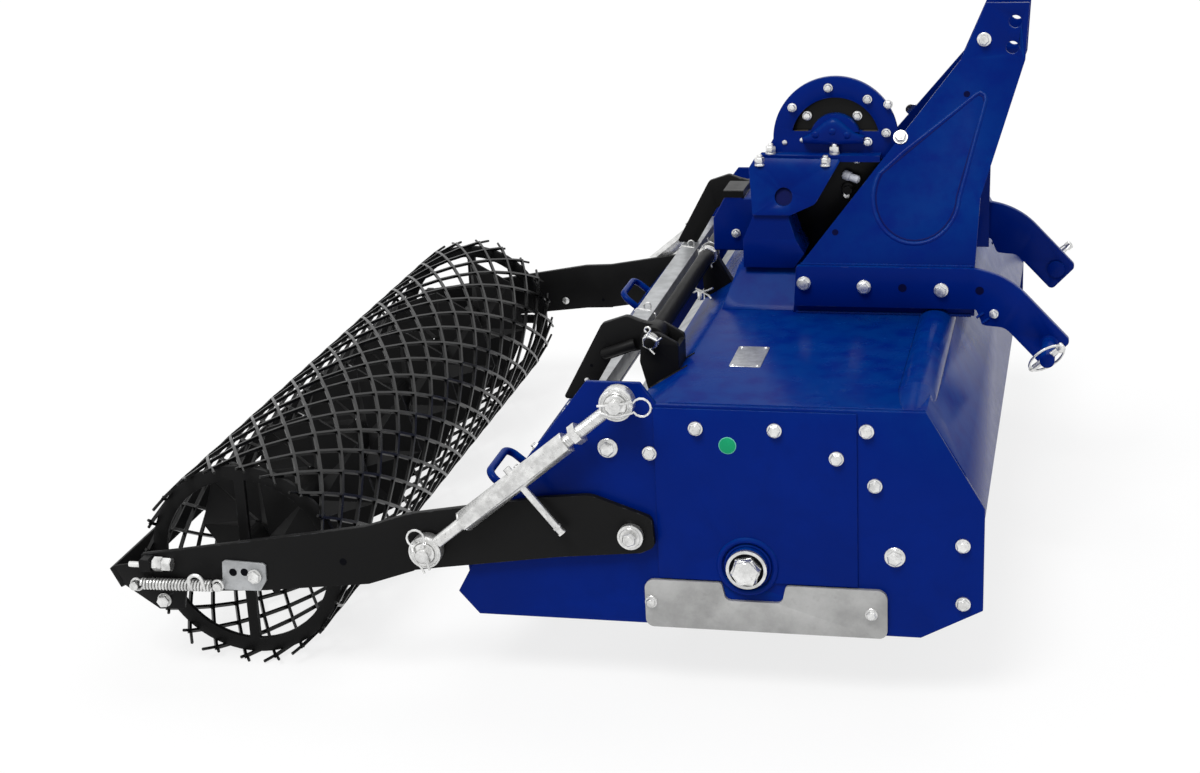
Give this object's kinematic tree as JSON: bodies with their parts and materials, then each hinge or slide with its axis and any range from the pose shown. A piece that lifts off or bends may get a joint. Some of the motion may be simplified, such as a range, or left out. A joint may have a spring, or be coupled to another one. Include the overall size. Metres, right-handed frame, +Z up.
{
  "type": "rotary tiller",
  "caption": "Tractor-mounted stone-burying rotary tiller with toothed rotor under a hood, three-point headstock, levelling board and wire-mesh packer roller on adjustable arms.",
  "frame": {"origin": "on the ground under the middle of the machine's length and width", "axes": "+X forwards to the tractor, along the drive shaft; +Y to the left; +Z up"},
  "size_m": [1.3923, 1.432, 0.891],
  "materials": {
    "blue_paint": "glossy deep blue paint",
    "black_paint": "satin black paint",
    "zinc_plate": "zinc plated",
    "gearbox_paint": "black painted casting",
    "wear_steel": "dark forged steel",
    "guard_plastic": "black moulded guard",
    "bright_steel": "machined shaft"
  },
  "bodies": {
    "frame": {"apron": "blue_paint", "arm_pivots": "zinc_plate", "buckle_pins_high": "zinc_plate", "cross_tube": "blue_paint", "deck": "blue_paint", "deck_bracket_left": "black_paint", "deck_bracket_right": "black_paint", "drive_tube": "blue_paint", "gearbox": "gearbox_paint", "gearbox_flange": "blue_paint", "gearbox_guard": "blue_paint", "gearbox_rear": "blue_paint", "gearbox_shield": "blue_paint", "hinge_tube": "black_paint", "hitch_pin_left": "blue_paint", "hitch_pin_right": "blue_paint", "hood_strip": "zinc_plate", "hub_left": "blue_paint", "hub_right": "blue_paint", "link_plate_left": "blue_paint", "link_plate_right": "blue_paint", "mast_plate_left": "blue_paint", "mast_plate_right": "blue_paint", "mast_spacer": "zinc_plate", "pedestal": "blue_paint", "pto_guard": "guard_plastic", "side_case": "blue_paint", "side_panel_right": "blue_paint", "side_plate_left": "blue_paint", "side_plate_right": "blue_paint", "skid_left": "zinc_plate", "skid_right": "zinc_plate"},
    "rotor": {"rotor_shaft": "black_paint", "rotor_nut": "zinc_plate", "rotor_tines": "wear_steel"},
    "pto": {"pto_shaft": "bright_steel"},
    "board": {"levelling_board": "blue_paint", "board_rail": "zinc_plate", "board_handles": "blue_paint", "board_arm_right": "black_paint", "board_arm_left": "black_paint"},
    "arms": {"roller_arm_right": "black_paint", "roller_arm_left": "black_paint", "scraper_bar": "black_paint", "scraper_brackets": "black_paint", "buckle_pins_low": "zinc_plate"},
    "roller": {"roller_frame": "black_paint", "roller_mesh": "black_paint", "roller_auger": "black_paint"},
    "buckle_right": {"turnbuckle_right": "zinc_plate"},
    "buckle_left": {"turnbuckle_left": "zinc_plate"},
    "buckle_rod_right": {"turnbuckle_rod_right": "zinc_plate"},
    "buckle_rod_left": {"turnbuckle_rod_left": "zinc_plate"}
  },
  "joints": [
    {"name": "rotor_spin", "type": "hinge", "parent": "frame", "child": "rotor", "pos_m": [0.265, 0, 0.2], "axis": [0, 1, 0], "continuous": true},
    {"name": "pto_spin", "type": "hinge", "parent": "frame", "child": "pto", "pos_m": [0.445, 0, 0.6], "axis": [1, 0, 0], "continuous": true},
    {"name": "board_tilt", "type": "hinge", "parent": "frame", "child": "board", "pos_m": [0.1, 0, 0.473], "axis": [0, 1, 0], "range_deg": [0, 18]},
    {"name": "arm_lift", "type": "hinge", "parent": "frame", "child": "arms", "pos_m": [0.102, 0, 0.245], "axis": [0, 1, 0], "range_deg": [-4, 14]},
    {"name": "roller_spin", "type": "hinge", "parent": "arms", "child": "roller", "pos_m": [-0.505, 0, 0.15652], "axis": [0, 1, 0], "continuous": true},
    {"name": "buckle_swing_right", "type": "hinge", "parent": "frame", "child": "buckle_right", "pos_m": [0.094, -0.687, 0.449], "axis": [0, 1, 0], "range_deg": [-3, 10]},
    {"name": "buckle_screw_right", "type": "slide", "parent": "buckle_right", "child": "buckle_rod_right", "axis": [-0.779, 0, -0.627], "range_m": [-0.043, 0.013]},
    {"name": "buckle_swing_left", "type": "hinge", "parent": "frame", "child": "buckle_left", "pos_m": [0.094, 0.687, 0.449], "axis": [0, 1, 0], "range_deg": [-3, 10]},
    {"name": "buckle_screw_left", "type": "slide", "parent": "buckle_left", "child": "buckle_rod_left", "axis": [-0.779, 0, -0.627], "range_m": [-0.043, 0.013]}
  ],
  "couplings": [
    {"joint": "pto_spin", "follows": "rotor_spin", "ratio": 2.25},
    {"joint": "buckle_swing_right", "follows": "arm_lift", "ratio": 0.69},
    {"joint": "buckle_screw_right", "follows": "arm_lift", "m_per_rad": -0.172},
    {"joint": "buckle_swing_left", "follows": "arm_lift", "ratio": 0.69},
    {"joint": "buckle_screw_left", "follows": "arm_lift", "m_per_rad": -0.172}
  ]
}
